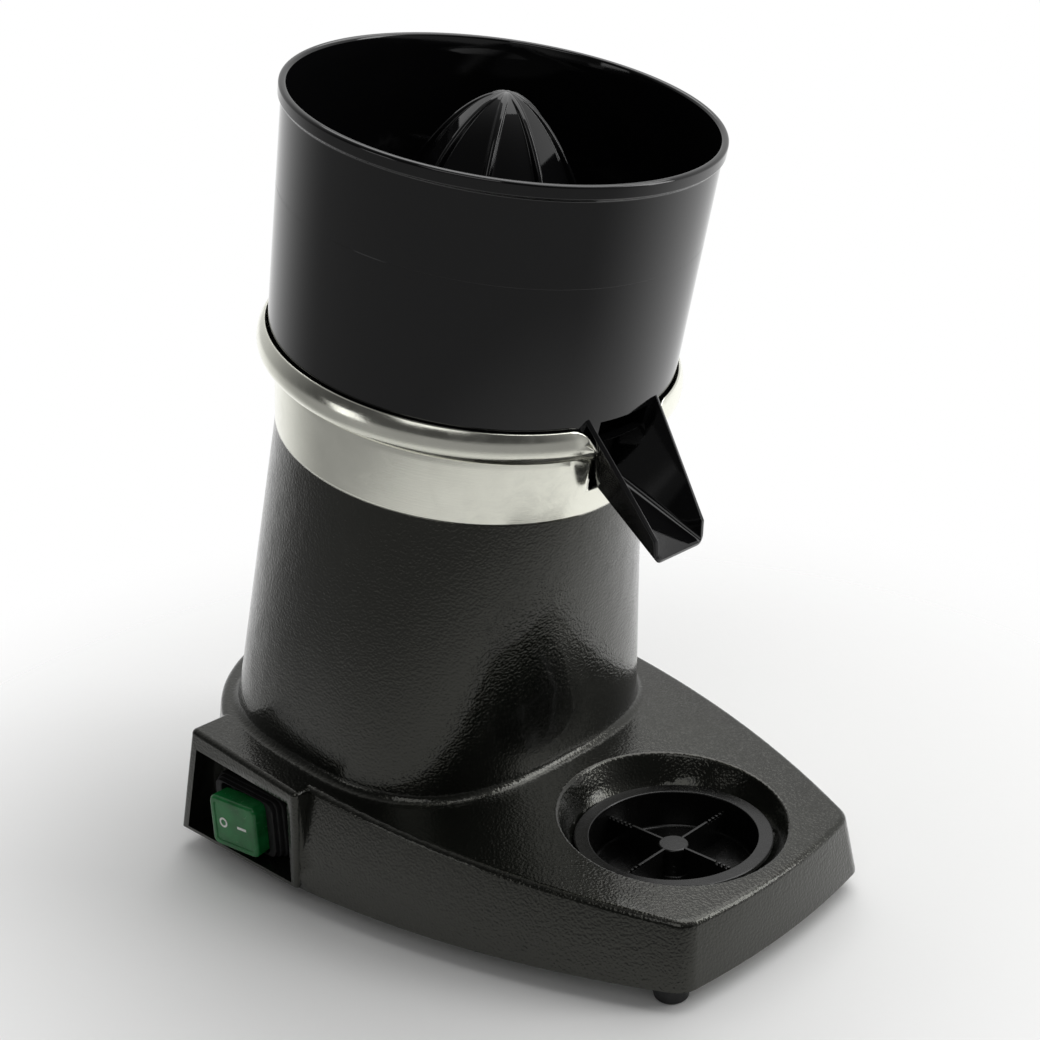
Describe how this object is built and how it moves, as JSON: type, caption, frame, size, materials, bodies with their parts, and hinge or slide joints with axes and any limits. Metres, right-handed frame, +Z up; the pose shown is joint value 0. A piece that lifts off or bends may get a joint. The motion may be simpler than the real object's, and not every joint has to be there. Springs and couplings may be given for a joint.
{
  "type": "citrus juicer",
  "caption": "Counter-top electric citrus juicer: leaning motor column on a flat base, polished collar, lift-off bowl with spout, spinning reamer, drip cup and side rocker switch.",
  "frame": {"origin": "on the surface it stands on, under the middle of the base", "axes": "+Z up, -Y to the front, where the spout is, +X to the right; the switch is on the -X side"},
  "size_m": [0.2174, 0.305, 0.3525],
  "materials": {
    "cast_black": "hammered gloss",
    "polished_aluminium": "polished",
    "black_plastic": "gloss",
    "green_plastic": "translucent gloss",
    "black_rubber": "matt",
    "dark_plastic": "matt",
    "pale_plastic": "matt",
    "copper": "enamelled",
    "cast_aluminium": "as cast",
    "steel": "plated"
  },
  "bodies": {
    "housing": {"body_casting": "cast_black", "bottom_plate": "steel", "bottom_plate_screws": "steel", "bowl_collar": "polished_aluminium", "cable_gland": "dark_plastic", "capacitor_clip": "steel", "collar_screws": "steel", "foot_screws": "steel", "gland_nut": "dark_plastic", "lower_bearing": "steel", "lower_motor_bracket": "cast_aluminium", "motor_tie_bolts": "steel", "rubber_feet": "black_rubber", "run_capacitor": "pale_plastic", "shaft_seal": "black_rubber", "stator_core": "steel", "stator_windings": "copper", "switch_bezel": "black_rubber", "switch_body": "dark_plastic", "switch_pivot": "steel", "terminal_block": "pale_plastic", "upper_bearing": "steel", "upper_motor_bracket": "cast_aluminium"},
    "rotor": {"motor_shaft": "steel", "drive_pin": "steel", "rotor_core": "steel", "cooling_fan": "dark_plastic", "shaft_slinger": "black_rubber"},
    "bowl": {"juice_bowl": "black_plastic"},
    "strainer": {"strainer": "black_plastic"},
    "reamer": {"reamer": "black_plastic"},
    "drip_cup": {"drip_cup": "black_plastic"},
    "rocker": {"switch_rocker": "green_plastic"}
  },
  "joints": [
    {"name": "motor_spin", "type": "hinge", "parent": "housing", "child": "rotor", "pos_m": [0, 0.0208, 0.1893], "axis": [0, -0.2521, 0.9677], "continuous": true},
    {"name": "bowl_lift", "type": "slide", "parent": "housing", "child": "bowl", "axis": [0, -0.2521, 0.9677], "range_m": [0, 0.09]},
    {"name": "strainer_lift", "type": "slide", "parent": "bowl", "child": "strainer", "axis": [0, -0.2521, 0.9677], "range_m": [0, 0.055]},
    {"name": "reamer_lift", "type": "slide", "parent": "rotor", "child": "reamer", "axis": [0, -0.2521, 0.9677], "range_m": [0, 0.2]},
    {"name": "drip_cup_lift", "type": "slide", "parent": "housing", "child": "drip_cup", "axis": [0, 0, 1], "range_m": [0, 0.06]},
    {"name": "switch_press", "type": "hinge", "parent": "housing", "child": "rocker", "pos_m": [-0.091, 0.0685, 0.0252], "axis": [0, 0, 1], "range_deg": [-14, 0]}
  ],
  "couplings": [
    {"joint": "strainer_lift", "follows": "bowl_lift", "ratio": 0.6},
    {"joint": "reamer_lift", "follows": "bowl_lift", "ratio": 2.2}
  ]
}
